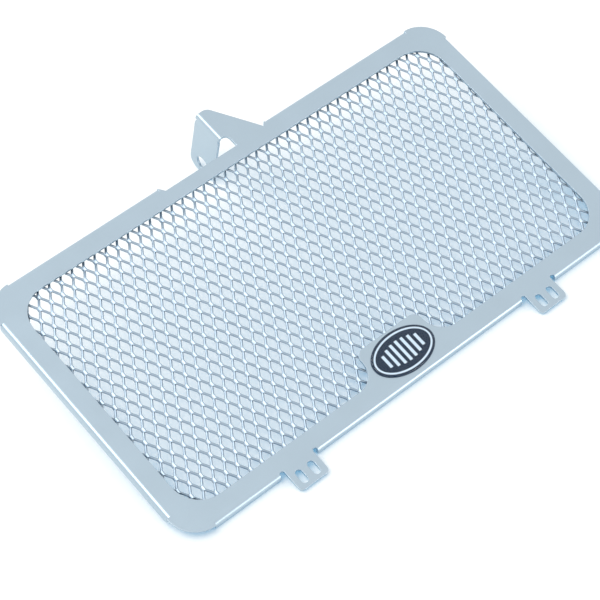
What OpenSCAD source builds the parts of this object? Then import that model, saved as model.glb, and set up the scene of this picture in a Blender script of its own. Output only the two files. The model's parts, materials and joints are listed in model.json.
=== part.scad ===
// Radiator guard for a motorcycle: a folded sheet frame with an expanded mesh
// panel behind its window, a domed oval badge, a top arm with a bolt lug and
// two bottom tabs for cable ties.
// The front face looks along +Z, the long side runs along X, and the arm is on
// the +Y side. The origin is the centre of the lug's hole, on its outer face.

/* [Frame] */
// overall width over the side flanges
frame_w = 300; // [250:5:360]
// overall height over the top and bottom flanges, without the arm and the tabs
frame_h = 163; // [140:1:200]
// width of the border at the left and right of the window
side_border = 12; // [10:0.5:16]
// width of the border above and below the window
end_border = 11.5; // [10:0.5:16]
// radius of the four outer corners
corner_r = 16.5; // [10:0.5:20]
// radius of the four window corners
window_r = 16.5; // [8:0.5:20]
// thickness of the sheet
sheet_t = 1.5; // [1:0.1:2]
// inside radius of each bend
bend_r = 0.8; // [0.5:0.1:1.2]
// depth of the folded edges, measured from the front face
flange_h = 5; // [4.5:0.1:8]
// radius of the free corners of the folded edges
flange_end_r = 1.5; // [0.5:0.1:2]

/* [Arm and lug] */
// how far the arm stands above the frame's top edge
arm_reach = 23.8; // [20:0.2:32]
// distance of the arm's right root from the middle of the frame
arm_root_x = 30.7; // [26:0.1:36]
// how far the top edge is cut back left of the arm
edge_cut = 3.6; // [2:0.1:4.5]
// width of the cut-back length left of the lug
edge_cut_w = 47.5; // [40:0.5:60]
// distance of the lug's outer face from the middle of the frame
lug_x = 6.2; // [4:0.1:10]
// gap between the lug and the line of the frame's top edge
lug_gap = 4.8; // [4:0.1:7]
// depth of the lug below the front face
lug_drop = 42.6; // [36:0.2:50]
// radius of the lug's two lower corners
lug_r = 6.5; // [4:0.1:7]
// diameter of the bolt hole in the lug
lug_hole_d = 9; // [6.6:0.1:10]
// distance of the bolt hole's centre from the lug's lower end
lug_hole_edge = 8; // [7:0.1:9]

/* [Tie tabs] */
// distance between the middles of the two tabs
tab_pitch = 162; // [130:1:190]
// width of a tab
tab_w = 18.3; // [16:0.1:22]
// how far a tab stands out from the frame's bottom edge
tab_l = 11.5; // [10:0.1:15]
// radius of a tab's free corners
tab_r = 2.6; // [1:0.1:4]
// width of a tie slot
slot_w = 3.8; // [3:0.1:5]
// length of a tie slot
slot_l = 8; // [6:0.1:9]
// distance between the middles of a tab's two slots
slot_pitch = 7.7; // [6:0.1:9]
// width of the round-ended relief beside each tab
relief_w = 2.6; // [2:0.1:3.5]

/* [Mesh] */
// distance between openings along X
mesh_swd = 7.08; // [6:0.02:9]
// distance between openings along Y
mesh_lwd = 11.81; // [10:0.01:15]
// width of a strand
strand_w = 1.4; // [0.9:0.05:1.6]
// thickness of a strand
strand_t = 1; // [0.5:0.05:1.2]
// shift of the openings along X, from a knuckle at the middle of the window
mesh_x = -1.2; // [-3.5:0.01:3.5]
// shift of the openings along Y, from a knuckle at the middle of the window
mesh_y = 1.97; // [-5.8:0.01:5.8]
// turn of the rows of openings away from X, seen from the front
mesh_turn = -0.4; // [-2:0.1:2]
// how far the panel reaches behind the border
mesh_lap = 3.5; // [2:0.5:6]

/* [Badge] */
// length of the badge along X
badge_w = 38; // [30:0.5:44]
// height of the badge along Y
badge_h = 24; // [18:0.5:26]
// thickness of the printed label
label_t = 0.4; // [0.2:0.05:0.6]
// height of the clear dome on the label
dome_t = 1.6; // [1:0.1:2.5]
// sheet left around the badge on its widened seat
badge_margin = 1.4; // [1:0.1:3]

/* [Hidden] */
win_w = frame_w - 2 * side_border;
win_h = frame_h - 2 * end_border;
bend_out = bend_r + sheet_t;
top_y = frame_h / 2;
cut_y = top_y - edge_cut;
// the lug and its hole, from the middle of the frame's front face
lug_y0 = top_y + lug_gap;
lug_y1 = top_y + arm_reach;
lug_mid_y = (lug_y0 + lug_y1) / 2;
lug_hole_z = lug_hole_edge - lug_drop;
// the arm's free end, its neck beside the lug and the round of that corner
arm_tip_x = lug_x + bend_out + 4.6;
arm_tip_r = 4.5;
arm_neck_x = lug_x + 5.4;
neck_r = 3;
// the straight lengths that carry a folded edge
side_run = frame_h - 2 * corner_r;
run_x = frame_w / 2 - corner_r;
cut_slope = 2.8;
left_run_end = arm_neck_x - edge_cut_w - cut_slope;
right_run_start = arm_root_x + bend_out;
tab_x = [-tab_pitch / 2, tab_pitch / 2];
tab_side = tab_w / 2 + relief_w;
bottom_runs = [
    [-run_x, tab_x[0] - tab_side],
    [tab_x[0] + tab_side, tab_x[1] - tab_side],
    [tab_x[1] + tab_side, run_x]
];
top_runs = [[-run_x, left_run_end], [right_run_start, run_x]];
slot_y = -top_y - tab_l + slot_l / 2 + 2.1;
// the badge and the widened seat under it
badge_y = -win_h / 2 + 4.2;
seat_w = badge_w + 2 * badge_margin + 0.2;
seat_top = badge_y + badge_h / 2 + badge_margin;
seat_r = 5;
seat_fillet = 12;
oval_steps = 72;
dome_steps = [1, 0.98, 0.94, 0.87, 0.76, 0.6, 0.36, 0.12];
bar_count = 3;
bar_pitch = 3.6;
bar_w = 1.7;
bar_h = 13;
// the mesh
mesh_w = win_w + 2 * mesh_lap;
mesh_h = win_h + 2 * mesh_lap;
mesh_angle = atan2(mesh_lwd, mesh_swd);
mesh_reach = norm([mesh_w, mesh_h]);
knuckle_size = [strand_w / sin(mesh_angle), strand_w / cos(mesh_angle)];
strand_count = ceil((mesh_w / mesh_swd + mesh_h / mesh_lwd) / 2) + 2;
frame_colour = [0.71, 0.78, 0.83];
mesh_colour = [0.62, 0.68, 0.74];
label_colour = [0.16, 0.2, 0.27];
print_colour = [0.77, 0.87, 0.92];
dome_colour = [0.8, 0.9, 0.95, 0.35];
eps = 0.01;
$fn = 64;

// a rectangle about the origin with four true arcs at its corners
module rounded_rect(w, h, r) {
    square([w, h - 2 * r], center = true);
    square([w - 2 * r, h], center = true);
    for (x = [-1, 1])
        for (y = [-1, 1])
            translate([x * (w / 2 - r), y * (h / 2 - r)])
                circle(r);
}

// the waste between a square corner at the origin and an arc inside it
module corner_waste(r) {
    difference() {
        translate([-1, -1])
            square(r + 1);
        translate([r, r])
            circle(r);
    }
}

// a slot about the origin that runs along Y
module slot(w, l) {
    square([w, l - w], center = true);
    for (y = [-1, 1])
        translate([0, y * (l - w) / 2])
            circle(w / 2);
}

// an oval about the origin as a list of points
function oval(w, h) = [for (i = [0:oval_steps - 1])
    let (a = i * 360 / oval_steps) [w / 2 * cos(a), h / 2 * sin(a)]];

// the widened part of the bottom border that carries the badge
module badge_seat() {
    seat_bottom = -win_h / 2;
    seat_h = seat_top - seat_bottom;
    translate([-seat_w / 2 + seat_r, seat_bottom - 1])
        square([seat_w - 2 * seat_r, seat_h + 1]);
    translate([-seat_w / 2, seat_bottom - 1])
        square([seat_w, seat_h + 1 - seat_r]);
    for (side = [-1, 1])
        translate([side * (seat_w / 2 - seat_r), seat_top - seat_r])
            circle(seat_r);
    // fillets that run the seat into the border
    for (side = [0, 1])
        mirror([side, 0])
            translate([seat_w / 2, seat_bottom])
                corner_waste(seat_fillet);
}

module window() {
    difference() {
        rounded_rect(win_w, win_h, window_r);
        badge_seat();
    }
}

// the arm in the plane of the face, from its root to the bend of the lug
module arm() {
    root = top_y - end_border + 3;
    difference() {
        offset(r = arm_tip_r)
            offset(delta = -arm_tip_r)
                polygon([
                    [arm_neck_x, root], [arm_neck_x, lug_y0], [lug_x - 6, lug_y0],
                    [lug_x - 6, lug_y1], [arm_tip_x, lug_y1],
                    [arm_root_x, top_y - bend_out], [arm_root_x, root]
                ]);
        // the lug's bend starts here
        translate([lug_x - 10, lug_y0 - 1])
            square([10 + bend_out, lug_y1 - lug_y0 + 2]);
    }
    translate([arm_neck_x, lug_y0])
        rotate(180)
            corner_waste(neck_r);
}

// a tab without its slots, from inside the border to its free end
module tab() {
    root = end_border - 2;
    translate([0, (root - tab_l) / 2])
        rounded_rect(tab_w, root + tab_l, tab_r);
}

// the round-ended relief that parts a tab from the folded edge beside it
module tab_relief() {
    top = bend_out + 0.2;
    translate([0, top - relief_w / 2])
        circle(relief_w / 2);
    translate([-relief_w / 2, -1])
        square([relief_w, top + 1 - relief_w / 2]);
}

// the flat part of the frame, between the bends
module face() {
    difference() {
        union() {
            rounded_rect(frame_w, frame_h, corner_r);
            for (x = tab_x)
                translate([x, -top_y])
                    tab();
        }
        window();
        // room for the bends
        for (side = [-1, 1])
            translate([side * frame_w / 2, 0])
                square([2 * bend_out, side_run], center = true);
        for (run = bottom_runs)
            translate([run[0], -top_y - 1])
                square([run[1] - run[0], bend_out + 1]);
        for (run = top_runs)
            translate([run[0], top_y - bend_out])
                square([run[1] - run[0], bend_out + 1]);
        for (x = tab_x)
            for (side = [-1, 1]) {
                translate([x + side * (tab_w + relief_w) / 2, -top_y])
                    tab_relief();
                translate([x + side * slot_pitch / 2, slot_y])
                    slot(slot_w, slot_l);
            }
        // the cut-back length of the top edge and the notch at the arm's right root
        polygon([
            [left_run_end, top_y + 1], [left_run_end, top_y], [left_run_end + cut_slope, cut_y],
            [arm_root_x - 1, cut_y], [arm_root_x, top_y - bend_out],
            [right_run_start, top_y], [right_run_start, top_y + 1]
        ]);
    }
    arm();
}

// the section of a folded edge: the sheet comes from -X and turns down
module bend_profile(drop) {
    translate([-1, -sheet_t])
        square([1, sheet_t]);
    difference() {
        translate([0, -bend_out])
            circle(bend_out);
        translate([0, -bend_out])
            circle(bend_r);
        translate([-2 * bend_out, -3 * bend_out])
            square([2 * bend_out, 4 * bend_out]);
        translate([-bend_out, -4 * bend_out])
            square([3 * bend_out, 3 * bend_out]);
    }
    translate([bend_r, -drop])
        square([sheet_t, drop - bend_out]);
}

// a bend of the given length that runs along Y and turns down at +X
module bend(length, drop) {
    rotate([90, 0, 0])
        linear_extrude(length, center = true)
            bend_profile(drop);
}

// a folded edge with rounded free corners
module flange(length) {
    difference() {
        bend(length, flange_h);
        for (end = [0, 1])
            mirror([0, end, 0])
                translate([-0.5, -length / 2, -flange_h])
                    rotate([90, 0, 90])
                        linear_extrude(bend_out + 1)
                            corner_waste(flange_end_r);
    }
}

// a folded edge along X, between two places on the frame's top or bottom edge
module end_flange(run, side) {
    translate([(run[0] + run[1]) / 2, side * (top_y - bend_out), 0])
        rotate(side * 90)
            flange(run[1] - run[0]);
}

// the lug below its bend, with the bolt hole
module lug_plate() {
    translate([lug_x, lug_mid_y, 0])
        rotate([90, 0, 90])
            linear_extrude(sheet_t)
                difference() {
                    translate([0, -lug_drop / 2])
                        rounded_rect(lug_y1 - lug_y0, lug_drop, lug_r);
                    translate([-lug_drop, -bend_out])
                        square([2 * lug_drop, lug_drop]);
                    translate([0, lug_hole_z])
                        circle(d = lug_hole_d);
                }
}

// puts the origin at the lug's hole
module placed() {
    translate([-lug_x, -lug_mid_y, -lug_hole_z])
        children();
}

module frame() {
    color(frame_colour)
        placed() {
            translate([0, 0, -sheet_t])
                linear_extrude(sheet_t)
                    face();
            for (side = [0, 1])
                mirror([side, 0, 0])
                    translate([frame_w / 2 - bend_out, 0, 0])
                        flange(side_run);
            for (run = bottom_runs)
                end_flange(run, -1);
            for (run = top_runs)
                end_flange(run, 1);
            translate([lug_x + bend_out, lug_mid_y, 0])
                mirror([1, 0, 0])
                    bend(lug_y1 - lug_y0, bend_out + 0.5);
            lug_plate();
        }
}

// the middle of the knuckle where strand i that leans to a side crosses strand j
function knuckle(i, j, side) =
    let (x = (i + j) / 2 * mesh_swd, y = side * (j - i) / 2 * mesh_lwd)
    [
        mesh_x + x * cos(mesh_turn) - y * sin(mesh_turn),
        mesh_y + x * sin(mesh_turn) + y * cos(mesh_turn)
    ];

// how far past the panel's edge a knuckle's middle lies; under 1 the panel holds some of it
function past_edge(p) =
    max(2 * abs(p[0]) - mesh_w, 0) / knuckle_size[0] + max(2 * abs(p[1]) - mesh_h, 0) / knuckle_size[1];

// the strands of one side that are joined to another one on the panel
function joined_strands(side) = [for (i = [-strand_count:strand_count])
    if (min([for (j = [-strand_count:strand_count]) past_edge(knuckle(i, j, side))]) < 1) i];

// parallel strands of the mesh that lean to one side, cut to the panel
module strands(side) {
    intersection() {
        square([mesh_w, mesh_h], center = true);
        translate([mesh_x, mesh_y])
            rotate(mesh_turn)
                for (i = joined_strands(side))
                    translate([i * mesh_swd, 0])
                        rotate(side * mesh_angle)
                            square([mesh_reach, strand_w], center = true);
    }
}

// the expanded mesh: strands that lean left lie on strands that lean right, and
// each crossing is a solid knuckle of double thickness
module mesh_panel() {
    color(mesh_colour)
        placed()
            translate([0, 0, -sheet_t - strand_t]) {
                linear_extrude(strand_t)
                    strands(1);
                translate([0, 0, -strand_t])
                    linear_extrude(strand_t)
                        strands(-1);
            }
}

// the pale fields of the label: a thin ring and a row of upright bars
module badge_fields() {
    difference() {
        polygon(oval(badge_w - 3, badge_h - 3));
        polygon(oval(badge_w - 5, badge_h - 5));
    }
    for (i = [-bar_count:bar_count])
        translate([i * bar_pitch, 0])
            square([bar_w, bar_h * (1 - pow(abs(i) / (bar_count + 1.6), 2))], center = true);
}

module badge_label() {
    placed()
        translate([0, badge_y, 0]) {
            color(label_colour)
                linear_extrude(label_t)
                    difference() {
                        polygon(oval(badge_w, badge_h));
                        badge_fields();
                    }
            color(print_colour)
                linear_extrude(label_t)
                    badge_fields();
        }
}

// the clear resin dome: steep at its rim and nearly flat in the middle
module badge_dome() {
    color(dome_colour)
        placed()
            translate([0, badge_y, label_t])
                hull()
                    for (s = dome_steps)
                        linear_extrude(dome_t * sqrt(1 - pow(s, 4)) + eps)
                            polygon(oval(s * (badge_w - 0.4), s * (badge_h - 0.4)));
}

frame();
mesh_panel();
badge_label();
badge_dome();
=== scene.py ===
"""Looks of a motorcycle radiator guard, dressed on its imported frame.

A folded sheet frame, a panel of raised expanded metal behind its window and a
domed oval badge on the lower border. The row frame is in metres: +Z points out
of the front face, +X runs along the long side, +Y runs from the tie tabs to the
arm, and the origin is the centre of the lug's bolt hole on its outer face.
"""

import json
import logging
import math
from dataclasses import dataclass
from enum import Enum
from typing import Any

import bpy
import numpy as np
from mathutils import Matrix, Vector

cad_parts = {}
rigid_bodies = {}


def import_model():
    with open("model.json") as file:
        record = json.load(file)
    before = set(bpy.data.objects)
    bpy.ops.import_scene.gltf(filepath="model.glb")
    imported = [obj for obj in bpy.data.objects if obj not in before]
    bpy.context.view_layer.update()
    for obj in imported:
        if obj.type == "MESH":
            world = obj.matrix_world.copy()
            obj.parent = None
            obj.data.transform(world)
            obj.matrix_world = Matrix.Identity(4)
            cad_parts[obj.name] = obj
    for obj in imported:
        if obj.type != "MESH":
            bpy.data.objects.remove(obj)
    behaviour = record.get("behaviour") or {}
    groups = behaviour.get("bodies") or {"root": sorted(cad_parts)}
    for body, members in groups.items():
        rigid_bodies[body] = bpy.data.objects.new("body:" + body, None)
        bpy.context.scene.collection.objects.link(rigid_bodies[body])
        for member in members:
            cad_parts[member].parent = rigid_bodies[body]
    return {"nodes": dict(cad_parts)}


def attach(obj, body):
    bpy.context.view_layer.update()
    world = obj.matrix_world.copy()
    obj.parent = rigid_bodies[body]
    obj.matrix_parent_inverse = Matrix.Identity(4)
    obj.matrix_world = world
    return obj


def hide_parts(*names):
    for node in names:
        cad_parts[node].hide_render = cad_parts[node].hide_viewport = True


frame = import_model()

Triple = tuple[float, float, float]
Colour = Triple
Socket = bpy.types.NodeSocket
Sockets = bpy.types.bpy_prop_collection

LOG = logging.getLogger("radiator_guard")
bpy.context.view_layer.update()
BODY = "root"
MM = 0.001
# the middle of the frame's front face, in millimetres of the row frame
FACE_MM: Triple = (-6.2, -95.8, 34.6)
WHITE: Colour = (1.0, 1.0, 1.0)
BEVEL_SAMPLES = 6
OCCLUSION_SAMPLES = 8


class Slot(Enum):
    """The record's material slots."""

    FRAME = "frame"
    MESH = "mesh"
    LABEL = "badge_label"
    DOME = "badge_dome"


class Wiring:
    """Adds and joins the nodes of one shader tree."""

    # a Mix node has sockets of every kind: its share, its two colours and their blend
    MIX_SHARE = 0
    MIX_FIRST = 6
    MIX_SECOND = 7
    MIX_BLEND = 2

    def __init__(self, tree: bpy.types.NodeTree) -> None:
        """Empties the tree and works in it.

        Args:
            tree: the node tree of a material, a world or a group.
        """
        self.tree = tree
        tree.nodes.clear()

    def add(self, kind: str, **settings: Any) -> bpy.types.Node:
        """Makes a shader node.

        Args:
            kind: the node's type without its ShaderNode prefix.
            settings: properties to set on it.

        Returns:
            The new node.
        """
        node = self.tree.nodes.new("ShaderNode" + kind)
        for key, value in settings.items():
            setattr(node, key, value)
        return node

    def ends(self) -> tuple[Sockets, Sockets]:
        """The sockets that a group is given, and those that it puts out."""
        nodes = self.tree.nodes
        return nodes.new("NodeGroupInput").outputs, nodes.new("NodeGroupOutput").inputs

    def feed(self, socket: Socket, source: Any) -> None:
        """Joins a socket to another one, or sets its own value.

        Args:
            socket: the input to feed.
            source: an output socket, a number, a vector or a colour.
        """
        if isinstance(source, bpy.types.NodeSocket):
            self.tree.links.new(source, socket)
        elif isinstance(source, tuple) and len(source) == 3 and socket.type == "RGBA":
            socket.default_value = (*source, 1.0)
        else:
            socket.default_value = source

    def math(self, operation: str, *terms: Any) -> Socket:
        """One step of arithmetic.

        Args:
            operation: the math node's operation.
            terms: its inputs, as sockets or numbers.

        Returns:
            The result.
        """
        node = self.add("Math", operation=operation)
        for socket, term in zip(node.inputs, terms):
            self.feed(socket, term)
        return node.outputs[0]

    def product(self, first: Any, *others: Any) -> Socket:
        """Multiplies two numbers or more.

        Args:
            first: the first of them, as a socket or a number.
            others: the rest.

        Returns:
            Their product.
        """
        for other in others:
            first = self.math("MULTIPLY", first, other)
        return first

    def noise(self, at: Socket, scale: Any, detail: float = 2.0) -> Socket:
        """A noise texture.

        Args:
            at: where it is looked up.
            scale: features per metre.
            detail: its octaves.

        Returns:
            The noise value, about 0.5 on average.
        """
        node = self.add("TexNoise")
        self.feed(node.inputs["Vector"], at)
        self.feed(node.inputs["Scale"], scale)
        self.feed(node.inputs["Detail"], detail)
        return node.outputs[0]

    def remap(self, value: Any, low: Any, high: Any, to_low: Any, to_high: Any) -> Socket:
        """A clamped linear change of range.

        Args:
            value: the number that comes in.
            low: the start of its range.
            high: the end of its range.
            to_low: what the start becomes.
            to_high: what the end becomes.

        Returns:
            The number that goes out.
        """
        node = self.add("MapRange")
        for socket, term in zip(node.inputs, (value, low, high, to_low, to_high)):
            self.feed(socket, term)
        return node.outputs[0]

    def mix(self, share: Any, first: Any, second: Any) -> Socket:
        """Blends two colours.

        Args:
            share: how much of the second one shows.
            first: the colour at 0.
            second: the colour at 1.

        Returns:
            The blended colour.
        """
        node = self.add("Mix", data_type="RGBA")
        self.feed(node.inputs[self.MIX_SHARE], share)
        self.feed(node.inputs[self.MIX_FIRST], first)
        self.feed(node.inputs[self.MIX_SECOND], second)
        return node.outputs[self.MIX_BLEND]

    def scaled(self, colour: Any, factor: Socket) -> Socket:
        """A colour made brighter or darker.

        Args:
            colour: a socket or a colour.
            factor: what it is multiplied by.

        Returns:
            The changed colour.
        """
        node = self.add("VectorMath", operation="SCALE")
        self.feed(node.inputs[0], colour)
        self.feed(node.inputs["Scale"], factor)
        return node.outputs[0]

    def group(self, tree: bpy.types.NodeTree, **values: Any) -> bpy.types.Node:
        """Places a shader group.

        Args:
            tree: the group.
            values: its inputs, with underscores for the spaces of their names.

        Returns:
            The group's node.
        """
        node = self.add("Group", node_tree=tree)
        for key, value in values.items():
            self.feed(node.inputs[key.replace("_", " ")], value)
        return node

    def rounded(self, radius: Any) -> Socket:
        """The surface's normal with its edges rounded.

        Args:
            radius: how far the rounding reaches, in metres.

        Returns:
            The normal.
        """
        node = self.add("Bevel", samples=BEVEL_SAMPLES)
        self.feed(node.inputs["Radius"], radius)
        return node.outputs[0]

    def relief(self, height: Socket, depth: float) -> bpy.types.Node:
        """Bends the normal by a height that changes over the surface.

        Args:
            height: the height, from 0 to 1.
            depth: what 1 stands for, in metres.

        Returns:
            The bump node.
        """
        node = self.add("Bump")
        self.feed(node.inputs["Height"], height)
        self.feed(node.inputs["Distance"], depth)
        return node

    def seen(self) -> Socket:
        """1 where the camera, a shiny surface or clear resin looks, and 0 for other light.

        Returns:
            The choice.
        """
        path = self.add("LightPath").outputs
        mirrored = self.math("MAXIMUM", path["Is Glossy Ray"], path["Is Transmission Ray"])
        return self.math("MAXIMUM", path["Is Camera Ray"], mirrored)

    def surface(self, shader: Socket) -> None:
        """Makes a shader the look of the material."""
        self.feed(self.add("OutputMaterial").inputs["Surface"], shader)


def new_finish(name: str) -> tuple[bpy.types.Material, Wiring]:
    """Makes an empty material.

    Args:
        name: its name.

    Returns:
        The material, and the wiring of its nodes.
    """
    made = bpy.data.materials.new(name)
    made.use_nodes = True
    return made, Wiring(made.node_tree)


class Effects:
    """The shader groups that several finishes share, each built once."""

    def __init__(self) -> None:
        """Builds the groups."""
        self.satin_grain = self._satin_grain()
        self.edge_wear_and_highlight = self._edge_wear_and_highlight()
        self.badge_print = self._badge_print()
        self.painted_shade = self._painted_shade()

    @staticmethod
    def _new(name: str, inputs: dict[str, float], outputs: tuple[str, ...]) -> bpy.types.NodeTree:
        """Makes a group with number sockets.

        Args:
            name: the group's name.
            inputs: the default of each input, by name.
            outputs: the outputs' names.

        Returns:
            The group, still empty.
        """
        tree = bpy.data.node_groups.new(name, "ShaderNodeTree")
        for label, value in inputs.items():
            socket = tree.interface.new_socket(label, in_out="INPUT", socket_type="NodeSocketFloat")
            socket.default_value = value
        for label in outputs:
            tree.interface.new_socket(label, in_out="OUTPUT", socket_type="NodeSocketFloat")
        return tree

    def _satin_grain(self) -> bpy.types.NodeTree:
        """Slow mottling and fine grain of a coated sheet.

        Returns:
            A group that puts out a brightness factor, a roughness and a height.
        """
        mottle_scale = 45.0
        mottle_share = 0.6
        grain_share = 0.4
        # noise strays from its middle by a quarter or less, so this brings it to about 1
        middle = 0.5
        stretch = 4.0
        tree = self._new(
            "satin_grain",
            {"Mottle": 0.03, "Roughness": 0.4, "Gloss spread": 0.05, "Grain scale": 2500.0},
            ("Factor", "Roughness", "Height"),
        )
        net = Wiring(tree)
        given, out = net.ends()
        at = net.add("TexCoord").outputs["Object"]
        slow = net.noise(at, mottle_scale, detail=3.0)
        fine = net.noise(at, given["Grain scale"])
        both = net.math("ADD", net.product(slow, mottle_share), net.product(fine, grain_share))
        stray = net.math("SUBTRACT", both, middle)
        mottle = net.product(given["Mottle"], stretch)
        gloss = net.product(given["Gloss spread"], stretch)
        factor = net.math("MULTIPLY_ADD", stray, mottle, 1.0)
        rough = net.math("MULTIPLY_ADD", stray, gloss, given["Roughness"])
        net.feed(out["Factor"], factor)
        net.feed(out["Roughness"], rough)
        net.feed(out["Height"], fine)
        return tree

    def _edge_wear_and_highlight(self) -> bpy.types.NodeTree:
        """Where edges and corners are rubbed bright and carry a painted highlight, broken up by noise.

        Returns:
            A group that puts out a mask.
        """
        # cosines of the rounded normal's turn, where rubbing starts and where it is full
        first_turn = 0.995
        full_turn = 0.8
        # the noise values between which a patch fades in, and how much is rubbed outside it
        patch_low = 0.35
        patch_high = 0.65
        rubbed_least = 0.35
        tree = self._new("edge_wear_and_highlight", {"Radius": 0.0003, "Amount": 0.6, "Break up": 600.0}, ("Mask",))
        net = Wiring(tree)
        given, out = net.ends()
        at = net.add("TexCoord").outputs["Object"]
        turn = net.add("VectorMath", operation="DOT_PRODUCT")
        net.feed(turn.inputs[0], net.rounded(given["Radius"]))
        net.feed(turn.inputs[1], net.add("NewGeometry").outputs["Normal"])
        edge = net.remap(turn.outputs["Value"], first_turn, full_turn, 0.0, 1.0)
        spots = net.noise(at, given["Break up"], detail=3.0)
        patches = net.remap(spots, patch_low, patch_high, rubbed_least, 1.0)
        net.feed(out["Mask"], net.product(edge, patches, given["Amount"]))
        return tree

    def _painted_shade(self) -> bpy.types.NodeTree:
        """Painted shade: darkens the colour close under other surfaces, where shade falls.

        Returns:
            A group that puts out a mask.
        """
        tree = self._new("painted_shade", {"Reach": 0.004, "Open": 0.8, "Closed": 0.5, "Amount": 0.5}, ("Mask",))
        net = Wiring(tree)
        given, out = net.ends()
        # ambient occlusion turns close surroundings into painted shade
        near = net.add("AmbientOcclusion", samples=OCCLUSION_SAMPLES)
        net.feed(near.inputs["Distance"], given["Reach"])
        covered = net.remap(near.outputs["AO"], given["Open"], given["Closed"], 0.0, 1.0)
        net.feed(out["Mask"], net.product(covered, given["Amount"]))
        return tree

    def _badge_print(self) -> bpy.types.NodeTree:
        """The pale fields of the label: a thin oval ring and a row of upright bars.

        Returns:
            A group that puts out a mask and takes its sizes in millimetres.
        """
        # the bars' tops and bottoms run out to nothing this many pitches past the last bar
        run_out = 1.6
        tree = self._new(
            "badge_print",
            {
                "Centre X": 0.0, "Centre Y": 0.0, "Width": 38.0, "Height": 24.0,
                "Ring outer": 3.0, "Ring inner": 5.0,
                "Bar pitch": 3.6, "Bar width": 1.7, "Bar height": 13.0, "Bars aside": 3.0,
            },
            ("Pale",),
        )
        net = Wiring(tree)
        given, out = net.ends()
        split = net.add("SeparateXYZ")
        net.feed(split.inputs[0], net.add("TexCoord").outputs["Object"])
        x = net.math("SUBTRACT", net.math("DIVIDE", split.outputs[0], MM), given["Centre X"])
        y = net.math("SUBTRACT", net.math("DIVIDE", split.outputs[1], MM), given["Centre Y"])

        def inside(cut: Socket) -> Socket:
            """Tells whether a point is inside an oval.

            Args:
                cut: how much narrower and lower the oval is than the label.

            Returns:
                1 inside and 0 outside.
            """
            across = net.math("DIVIDE", net.product(x, 2.0), net.math("SUBTRACT", given["Width"], cut))
            up = net.math("DIVIDE", net.product(y, 2.0), net.math("SUBTRACT", given["Height"], cut))
            square = net.math("ADD", net.product(across, across), net.product(up, up))
            return net.math("LESS_THAN", square, 1.0)

        ring = net.math("SUBTRACT", inside(given["Ring outer"]), inside(given["Ring inner"]))
        step = net.math("ROUND", net.math("DIVIDE", x, given["Bar pitch"]))
        aside = net.math("ABSOLUTE", step)
        from_middle = net.math("ABSOLUTE", net.math("SUBTRACT", x, net.product(step, given["Bar pitch"])))
        on_bar = net.math("LESS_THAN", from_middle, net.product(given["Bar width"], 0.5))
        share = net.math("DIVIDE", aside, net.math("ADD", given["Bars aside"], run_out))
        tall = net.product(net.math("SUBTRACT", 1.0, net.product(share, share)), given["Bar height"])
        in_height = net.math("LESS_THAN", net.product(net.math("ABSOLUTE", y), 2.0), tall)
        in_row = net.math("LESS_THAN", aside, net.math("ADD", given["Bars aside"], 0.5))
        bars = net.product(on_bar, in_height, in_row)
        net.feed(out["Pale"], net.math("MAXIMUM", ring, bars))
        return tree


@dataclass(frozen=True)
class SatinMetal:
    """Satin aluminium with a fine grain, smoother edges made lighter by rubbed wear and a painted
    highlight, and painted shade close under other surfaces if it has any.
    """

    name: str
    colour: Colour
    # edges take this lighter colour: rubbed wear and a painted highlight
    edge_wear_and_highlight_colour: Colour
    metallic: float = 0.9
    roughness: float = 0.4
    edge_roughness: float = 0.25
    mottle: float = 0.03
    gloss_spread: float = 0.05
    grain_scale: float = 2500.0
    grain_depth: float = 0.004 * MM
    edge_radius: float = 0.35 * MM
    # how much of the rubbed wear and painted edge highlight shows
    edge_wear_and_highlight_amount: float = 0.6
    # the colour and share of the painted shade close under other surfaces
    painted_shade_colour: Colour = (0.05, 0.07, 0.09)
    painted_shade_amount: float = 0.0

    def material(self, effects: Effects) -> bpy.types.Material:
        """Builds the finish.

        Args:
            effects: the shared shader groups.

        Returns:
            The material.
        """
        made, net = new_finish(self.name)
        grain = net.group(
            effects.satin_grain, Mottle=self.mottle, Roughness=self.roughness,
            Gloss_spread=self.gloss_spread, Grain_scale=self.grain_scale,
        )
        # the edge mask is rubbed wear and also a painted highlight on the edges
        wear_and_highlight = net.group(effects.edge_wear_and_highlight, Radius=self.edge_radius, Amount=self.edge_wear_and_highlight_amount)
        worn_and_lit = wear_and_highlight.outputs["Mask"]
        colour = net.mix(worn_and_lit, net.scaled(self.colour, grain.outputs["Factor"]), self.edge_wear_and_highlight_colour)
        if self.painted_shade_amount:
            # painted shade where other surfaces are close above
            painted_shade = net.group(effects.painted_shade, Amount=self.painted_shade_amount)
            colour = net.mix(painted_shade.outputs["Mask"], colour, self.painted_shade_colour)
        bump = net.relief(grain.outputs["Height"], self.grain_depth)
        net.feed(bump.inputs["Normal"], net.rounded(self.edge_radius))
        rough = net.remap(worn_and_lit, 0.0, 1.0, grain.outputs["Roughness"], self.edge_roughness)
        shader = net.add("BsdfPrincipled")
        net.feed(shader.inputs["Base Color"], colour)
        net.feed(shader.inputs["Metallic"], self.metallic)
        net.feed(shader.inputs["Roughness"], rough)
        net.feed(shader.inputs["Normal"], bump.outputs[0])
        net.surface(shader.outputs[0])
        return made


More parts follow.
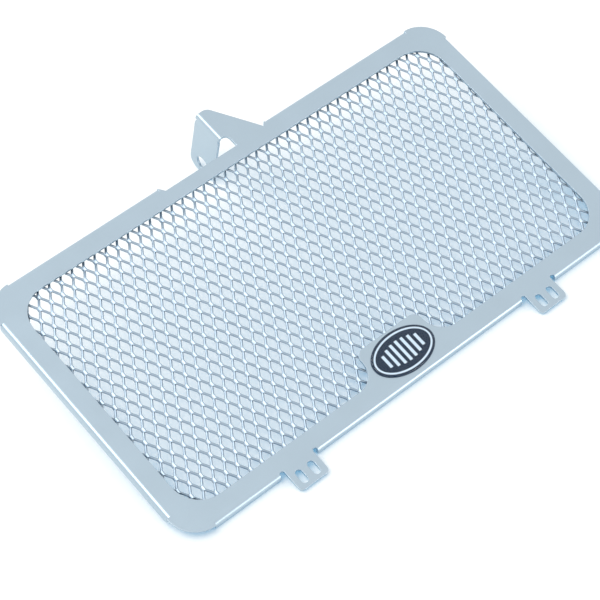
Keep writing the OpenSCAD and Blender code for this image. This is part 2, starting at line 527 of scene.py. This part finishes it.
@dataclass(frozen=True)
class PrintedLabel:
    """A dark printed label with pale fields around a centre in millimetres of the row frame."""

    name: str
    dark: Colour
    pale: Colour
    centre: tuple[float, float]
    roughness: float = 0.45
    mottle: float = 0.04
    gloss_spread: float = 0.04
    grain_scale: float = 4000.0
    grain_depth: float = 0.002 * MM

    def material(self, effects: Effects) -> bpy.types.Material:
        """Builds the finish.

        Args:
            effects: the shared shader groups.

        Returns:
            The material.
        """
        made, net = new_finish(self.name)
        fields = net.group(effects.badge_print, Centre_X=self.centre[0], Centre_Y=self.centre[1])
        grain = net.group(
            effects.satin_grain, Mottle=self.mottle, Roughness=self.roughness,
            Gloss_spread=self.gloss_spread, Grain_scale=self.grain_scale,
        )
        ink = net.mix(fields.outputs["Pale"], self.dark, self.pale)
        bump = net.relief(grain.outputs["Height"], self.grain_depth)
        shader = net.add("BsdfPrincipled")
        net.feed(shader.inputs["Base Color"], net.scaled(ink, grain.outputs["Factor"]))
        net.feed(shader.inputs["Roughness"], grain.outputs["Roughness"])
        net.feed(shader.inputs["Normal"], bump.outputs[0])
        net.surface(shader.outputs[0])
        return made


@dataclass(frozen=True)
class ClearResin:
    """Clear glossy resin that lets the light of lamps and surroundings through to the label."""

    name: str
    tint: Colour = (0.98, 0.99, 1.0)
    roughness: float = 0.03
    ior: float = 1.38
    gloss_spread: float = 0.01
    wave_scale: float = 180.0
    wave_depth: float = 0.01 * MM

    def material(self, effects: Effects) -> bpy.types.Material:
        """Builds the finish.

        Args:
            effects: the shared shader groups.

        Returns:
            The material.
        """
        made, net = new_finish(self.name)
        waves = net.group(
            effects.satin_grain, Roughness=self.roughness,
            Gloss_spread=self.gloss_spread, Grain_scale=self.wave_scale,
        )
        bump = net.relief(waves.outputs["Height"], self.wave_depth)
        shader = net.add("BsdfPrincipled")
        net.feed(shader.inputs["Base Color"], self.tint)
        net.feed(shader.inputs["Roughness"], waves.outputs["Roughness"])
        net.feed(shader.inputs["IOR"], self.ior)
        net.feed(shader.inputs["Transmission Weight"], 1.0)
        net.feed(shader.inputs["Normal"], bump.outputs[0])
        through = net.add("BsdfTransparent")
        net.feed(through.inputs[0], self.tint)
        path = net.add("LightPath").outputs
        choice = net.add("MixShader")
        net.feed(choice.inputs[0], net.math("MAXIMUM", path["Is Shadow Ray"], path["Is Diffuse Ray"]))
        net.feed(choice.inputs[1], shader.outputs[0])
        net.feed(choice.inputs[2], through.outputs[0])
        net.surface(choice.outputs[0])
        return made


def new_object(name: str, data: bpy.types.ID) -> bpy.types.Object:
    """Makes an object and puts it into the scene.

    Args:
        name: the object's name.
        data: its mesh, lamp or camera.

    Returns:
        The object.
    """
    made = bpy.data.objects.new(name, data)
    bpy.context.scene.collection.objects.link(made)
    return made


def new_piece(
    name: str, points: np.ndarray, faces: list[tuple[int, ...]], sharp_deg: float
) -> bpy.types.Object:
    """Makes a mesh object from points in millimetres.

    Args:
        name: the piece's name.
        points: its corners, from the middle of the front face.
        faces: each face's corners.
        sharp_deg: edges that turn by more than this stay sharp.

    Returns:
        The object, in the row frame and in metres.
    """
    mesh = bpy.data.meshes.new(name)
    mesh.from_pydata(((points + np.array(FACE_MM)) * MM).tolist(), [], faces)
    mesh.validate()
    mesh.shade_smooth()
    mesh.set_sharp_from_angle(angle=math.radians(sharp_deg))
    return new_object(name, mesh)


def wall(start: int, rings: int, count: int) -> list[tuple[int, ...]]:
    """The faces that join closed rings of corners into a wall.

    Args:
        start: the first corner of the first ring.
        rings: how many rings follow one another.
        count: how many corners a ring has.

    Returns:
        Each face's corners.
    """
    faces = []
    for here in range(start, start + (rings - 1) * count, count):
        for k in range(count):
            n = (k + 1) % count
            faces.append((here + k, here + n, here + count + n, here + count + k))
    return faces


def dress(piece: bpy.types.Object, material: bpy.types.Material) -> None:
    """Gives a piece its finish and its body.

    Args:
        piece: the object.
        material: the finish.
    """
    piece.data.materials.clear()
    piece.data.materials.append(material)
    if piece.parent is None:
        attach(piece, BODY)


@dataclass
class FoldedFrame:
    """The folded sheet frame: the CAD solid with its satin finish."""

    # the frame's edges are lighter: rubbed wear and a painted highlight
    finish: SatinMetal = SatinMetal(
        name="satin_frame", colour=(0.45, 0.556, 0.638), edge_wear_and_highlight_colour=(0.72, 0.8, 0.86), roughness=0.34
    )

    def build(self, effects: Effects) -> list[bpy.types.Object]:
        """Dresses the CAD node.

        Args:
            effects: the shared shader groups.

        Returns:
            The pieces.
        """
        piece = frame["nodes"]["frame"]
        dress(piece, self.finish.material(effects))
        return [piece]


@dataclass
class ExpandedPanel:
    """Raised expanded metal: zigzag ribbons, tilted, that join in pairs at their knuckles.

    Sizes are in millimetres. A ribbon runs along Y between two columns of knuckles.
    """

    width: float = 283.0
    height: float = 147.0
    # the pattern's pitch along the panel and up it, the place of one knuckle, and its turn
    pitch_x: float = 7.083
    pitch_y: float = 11.8125
    knuckle_at: tuple[float, float] = (-1.2, 1.97)
    turn_deg: float = -0.4
    strand_w: float = 1.25
    strand_t: float = 1.0
    bevel: float = 0.2
    # what is left of the bevel where two ribbons join
    joined_run: float = 0.01
    tilt_deg: float = -30.0
    knuckle: float = 2.0
    back_of_sheet: float = -1.5
    # how far the middle hangs back, over the width and over the height
    sag: tuple[float, float] = (2.2, 0.55)
    sharp_deg: float = 60.0
    # points of the bend between two knuckles, as shares of its way along and aside
    stations: tuple[tuple[float, float], ...] = ((0.1, 0.06), (0.5, 0.5), (0.9, 0.94))
    # a point nearer to a ribbon's cut end than this is left out
    least_step: float = 0.05
    # the panel's cut edges are lighter, as rubbed wear and a painted highlight, and it gets painted shade
    # close under the border
    finish: SatinMetal = SatinMetal(
        name="satin_mesh", colour=(0.37, 0.46, 0.55), edge_wear_and_highlight_colour=(0.75, 0.83, 0.88),
        roughness=0.3, edge_radius=0.12 * MM, edge_wear_and_highlight_amount=0.4, painted_shade_amount=0.9,
    )

    def ribbon(self, column: int) -> np.ndarray:
        """The middle line of one ribbon, cut at the panel's long edges.

        Args:
            column: the number of the knuckle column on its left.

        Returns:
            Points along Y, one in a row, each followed by the runs of its lower and upper bevel.
        """
        tilt = math.radians(self.tilt_deg)
        half = (self.strand_w - self.joined_run) / 2
        step = self.pitch_y / 2
        # more rows of knuckles than the panel has, to be cut at its edges
        reach = math.ceil(self.height / self.pitch_y) + 2
        joints = []
        for row in range(-reach, reach + 1):
            side = 1 if (column + row) % 2 == 0 else -1
            knuckle_x = (column if side == 1 else column + 1) * self.pitch_x / 2
            shift = side * half
            joints.append((knuckle_x + shift * math.cos(tilt), row * step, -shift * math.sin(tilt), side))
        line = []
        for (x0, y0, z0, side), (x1, _, z1, _) in zip(joints, joints[1:]):
            # a ribbon right of its knuckle is joined along its lower edge
            edges = (self.joined_run, self.bevel)[::side]
            line += [(x0, y0 - self.knuckle / 2, z0, *edges), (x0, y0 + self.knuckle / 2, z0, *edges)]
            free = step - self.knuckle
            for along, aside in self.stations:
                y = y0 + self.knuckle / 2 + along * free
                line.append((x0 + aside * (x1 - x0), y, z0 + aside * (z1 - z0), self.bevel, self.bevel))
        across, up, z, *runs = np.array(line).T
        turn = math.radians(self.turn_deg)
        x = self.knuckle_at[0] + across * math.cos(turn) - up * math.sin(turn)
        y = self.knuckle_at[1] + across * math.sin(turn) + up * math.cos(turn)
        # the ribbons' highest edges touch the back of the sheet, and the middle hangs back from there
        top_z = abs(self.strand_w * math.sin(tilt)) + self.strand_t / 2 * math.cos(tilt)
        sag_x = self.sag[0] * (1.0 - (2.0 * x / self.width) ** 2)
        sag_y = self.sag[1] * (1.0 - (2.0 * y / self.height) ** 2)
        z = z + self.back_of_sheet - top_z - (sag_x + sag_y)
        rows = np.column_stack([x, y, z, *runs])
        edge = self.height / 2
        low_end, high_end = ([np.interp(at, y, values) for values in rows.T] for at in (-edge, edge))
        return np.vstack([low_end, rows[np.abs(y) < edge - self.least_step], high_end])

    def section(self, lower: float, upper: float) -> np.ndarray:
        """The outline of a ribbon, as pairs across its width and thickness.

        Args:
            lower: the run of the bevel along its lower edge.
            upper: the run of the bevel along its upper edge.

        Returns:
            Eight corners.
        """
        side, face = self.strand_w / 2, self.strand_t / 2
        shoulder = face - self.bevel
        front = [(side, shoulder), (side - upper, face), (lower - side, face), (-side, shoulder)]
        return np.array(front + [(x, -y) for x, y in reversed(front)])

    def rings(self, column: int) -> np.ndarray:
        """The ribbon's outline at each point of its middle line.

        Args:
            column: the number of the knuckle column on its left.

        Returns:
            Rings of corners, as points in millimetres.
        """
        rows = self.ribbon(column)
        line = rows[:, :3]
        tilt = math.radians(self.tilt_deg)
        lean = np.array([math.cos(tilt), 0.0, -math.sin(tilt)])
        legs = np.diff(line, axis=0)
        legs /= np.linalg.norm(legs, axis=1)[:, None]
        along = np.vstack([legs[:1], legs[:-1] + legs[1:], legs[-1:]])
        along /= np.linalg.norm(along, axis=1)[:, None]
        # the cut ends are square to Y
        along[0] = along[-1] = (0.0, 1.0, 0.0)
        wide = lean - (along @ lean)[:, None] * along
        wide /= np.linalg.norm(wide, axis=1)[:, None]
        thick = np.cross(wide, along)
        outline = np.array([self.section(*row[3:]) for row in rows])
        return line[:, None] + outline[:, :, :1] * wide[:, None] + outline[:, :, 1:] * thick[:, None]

    def build(self, effects: Effects) -> list[bpy.types.Object]:
        """Builds the panel in place of the plain node.

        Args:
            effects: the shared shader groups.

        Returns:
            The pieces.
        """
        # whole ribbons only, out to the panel's ends behind the border
        reach = self.width / 2
        step = self.pitch_x / 2
        first = math.ceil((-reach - self.knuckle_at[0]) / step)
        last = math.floor((reach - self.knuckle_at[0]) / step) - 1
        points: list[np.ndarray] = []
        faces: list[tuple[int, ...]] = []
        start = 0
        for column in range(first, last + 1):
            rings = self.rings(column)
            length, count, _ = rings.shape
            end = start + length * count
            faces += wall(start, length, count)
            faces.append(tuple(reversed(range(start, start + count))))
            faces.append(tuple(range(end - count, end)))
            points.append(rings.reshape(-1, 3))
            start = end
        piece = new_piece("expanded_panel", np.vstack(points), faces, self.sharp_deg)
        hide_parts("mesh_panel")
        dress(piece, self.finish.material(effects))
        return [piece]


@dataclass
class Badge:
    """The oval badge: a printed label under a clear resin dome, in millimetres."""

    width: float = 38.0
    height: float = 24.0
    middle_y: float = -65.8
    label_t: float = 0.4
    dome_t: float = 1.6
    dome_inset: float = 0.2
    # the higher this power, the flatter the dome's middle and the fuller its rim
    fullness: int = 4
    sides: int = 96
    rings: int = 18
    sharp_deg: float = 60.0
    dark: Colour = (0.008, 0.03, 0.068)
    pale: Colour = (0.64, 0.77, 0.88)
    resin: ClearResin = ClearResin(name="clear_resin")

    def dome(self) -> bpy.types.Object:
        """The dome as one smooth closed cap.

        Returns:
            The object.
        """
        turn = np.linspace(0.0, 2 * math.pi, self.sides, endpoint=False)
        rim_x = (self.width / 2 - self.dome_inset) * np.cos(turn)
        rim_y = (self.height / 2 - self.dome_inset) * np.sin(turn)
        levels = [np.column_stack([rim_x, rim_y, np.zeros_like(turn)])]
        for ring in range(1, self.rings):
            share = math.cos(ring / self.rings * math.pi / 2)
            rise = self.dome_t * math.sqrt(1 - share ** self.fullness)
            levels.append(np.column_stack([share * rim_x, share * rim_y, np.full_like(turn, rise)]))
        foot = np.array([0.0, self.middle_y, self.label_t])
        cloud = np.vstack([*levels, [[0.0, 0.0, self.dome_t]]]) + foot
        faces: list[tuple[int, ...]] = [tuple(reversed(range(self.sides)))]
        faces += wall(0, self.rings, self.sides)
        top = (self.rings - 1) * self.sides
        tip = len(cloud) - 1
        faces += [(top + k, top + (k + 1) % self.sides, tip) for k in range(self.sides)]
        return new_piece("resin_dome", cloud, faces, self.sharp_deg)

    def build(self, effects: Effects) -> list[bpy.types.Object]:
        """Dresses the label and puts the smooth dome in place of the faceted node.

        Args:
            effects: the shared shader groups.

        Returns:
            The pieces.
        """
        label = frame["nodes"]["badge_label"]
        ink = PrintedLabel(
            name="badge_print", dark=self.dark, pale=self.pale,
            centre=(FACE_MM[0], FACE_MM[1] + self.middle_y),
        )
        dress(label, ink.material(effects))
        dome = self.dome()
        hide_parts("badge_dome")
        dress(dome, self.resin.material(effects))
        return [label, dome]


@dataclass(frozen=True)
class Lamp:
    """A soft square lamp that faces the middle of the guard, in metres and watts."""

    name: str
    towards: Triple
    distance: float
    side: float
    power: float

    def build(self) -> None:
        """Hangs the lamp."""
        data = bpy.data.lights.new(self.name, "AREA")
        data.shape = "SQUARE"
        data.size = self.side
        data.energy = self.power
        lamp = new_object(self.name, data)
        direction = Vector(self.towards).normalized()
        lamp.location = Vector(FACE_MM) * MM + direction * self.distance
        lamp.rotation_mode = "QUATERNION"
        lamp.rotation_quaternion = direction.to_track_quat("Z", "Y")


@dataclass
class Studio:
    """The floor that the guard lies on, the lamps, the white surround and the camera."""

    # the guard rests on the lug's lower end and on the bottom folded edge: Y and Z in millimetres
    lug_foot: tuple[float, float] = (-3.0, -8.0)
    edge_foot: tuple[float, float] = (-177.3, 29.6)
    # half the floor's side, in metres
    floor_half: float = 4.0
    # what the floor throws back as light
    floor_colour: Colour = (0.82, 0.86, 0.9)
    # where the floor is seen or mirrored, it is white in the open and pale blue in shade
    floor_seen: Colour = (1.0, 0.86, 0.69)
    floor_lift: Colour = (0.0, 0.178, 0.365)
    # the strength of the plain light from all round
    ambient: float = 0.78
    camera_at: Triple = (-0.45184, -0.43709, 0.9412)
    # the picture's right, down and away directions
    camera_axes: tuple[Triple, Triple, Triple] = (
        (0.75403591, -0.64618448, 0.1177942),
        (-0.51949995, -0.69645095, -0.49505139),
        (0.4019324, 0.31209244, -0.86084183),
    )
    # the lens and the sensor's width, in millimetres
    lens: float = 126.08
    sensor: float = 36.0
    # the nearest and the farthest thing that is seen, in metres
    sight: tuple[float, float] = (0.05, 50.0)
    lamps: tuple[Lamp, ...] = (
        Lamp("lamp_left", (-0.47, 0.31, 0.826), distance=2.2, side=1.35, power=15.0),
        Lamp("lamp_front", (0.4, -0.84, 0.36), distance=1.3, side=0.5, power=3.0),
        Lamp("lamp_back", (-0.33, 0.84, 0.41), distance=1.6, side=0.9, power=6.0),
        # a small one, for glints
        Lamp("lamp_glint", (-0.47, 0.2, 0.86), distance=1.3, side=0.06, power=0.3),
    )

    def pale_floor(self) -> bpy.types.Material:
        """The floor's material, clear from below.

        Returns:
            The material.
        """
        made, net = new_finish("pale_floor")
        seen = net.seen()
        matt = net.add("BsdfDiffuse")
        net.feed(matt.inputs["Color"], net.mix(seen, self.floor_colour, self.floor_seen))
        lift = net.add("Emission")
        net.feed(lift.inputs["Color"], self.floor_lift)
        net.feed(lift.inputs["Strength"], seen)
        both = net.add("AddShader")
        net.feed(both.inputs[0], matt.outputs[0])
        net.feed(both.inputs[1], lift.outputs[0])
        under = net.add("MixShader")
        net.feed(under.inputs[0], net.add("NewGeometry").outputs["Backfacing"])
        net.feed(under.inputs[1], both.outputs[0])
        net.feed(under.inputs[2], net.add("BsdfTransparent").outputs[0])
        net.surface(under.outputs[0])
        return made

    def floor(self) -> None:
        """The floor, tilted so that the guard rests on it."""
        (y0, z0), (y1, z1) = self.lug_foot, self.edge_foot
        along = Vector((0.0, y1 - y0, z1 - z0)).normalized()
        across = Vector((1.0, 0.0, 0.0))
        middle = Vector((0.0, (y0 + y1) / 2, (z0 + z1) / 2)) * MM
        ways = ((-1, 1), (1, 1), (1, -1), (-1, -1))
        corners = [middle + self.floor_half * (i * across + j * along) for i, j in ways]
        mesh = bpy.data.meshes.new("floor")
        mesh.from_pydata(corners, [], [(0, 1, 2, 3)])
        mesh.materials.append(self.pale_floor())
        new_object("floor", mesh)

    def surround(self) -> None:
        """White where it is seen or mirrored, and plain ambient light for the rest."""
        world = bpy.data.worlds.new("surround")
        bpy.context.scene.world = world
        world.use_nodes = True
        net = Wiring(world.node_tree)
        light = net.add("Background")
        net.feed(light.inputs["Color"], WHITE)
        net.feed(light.inputs["Strength"], net.remap(net.seen(), 0.0, 1.0, self.ambient, 1.0))
        net.feed(net.add("OutputWorld").inputs["Surface"], light.outputs[0])

    def camera(self) -> None:
        """The photograph's viewpoint."""
        right, down, away = (Vector(v) for v in self.camera_axes)
        data = bpy.data.cameras.new("camera")
        data.lens = self.lens
        data.sensor_width = self.sensor
        data.clip_start, data.clip_end = self.sight
        camera = new_object("camera", data)
        turn = Matrix((right, -down, -away)).transposed().to_4x4()
        camera.matrix_world = Matrix.Translation(Vector(self.camera_at)) @ turn
        bpy.context.scene.camera = camera

    def build(self) -> None:
        """Sets the whole stage."""
        self.floor()
        self.surround()
        for lamp in self.lamps:
            lamp.build()
        self.camera()
        bpy.context.scene.view_settings.view_transform = "Standard"


def main() -> None:
    """Builds the guard's pieces and its stage."""
    logging.basicConfig(level=logging.INFO, format="%(name)s: %(message)s")
    effects = Effects()
    for assembly in (FoldedFrame(), ExpandedPanel(), Badge()):
        for piece in assembly.build(effects):
            LOG.info("%s: %d faces", piece.name, len(piece.data.polygons))
    Studio().build()


if __name__ == "__main__":
    main()
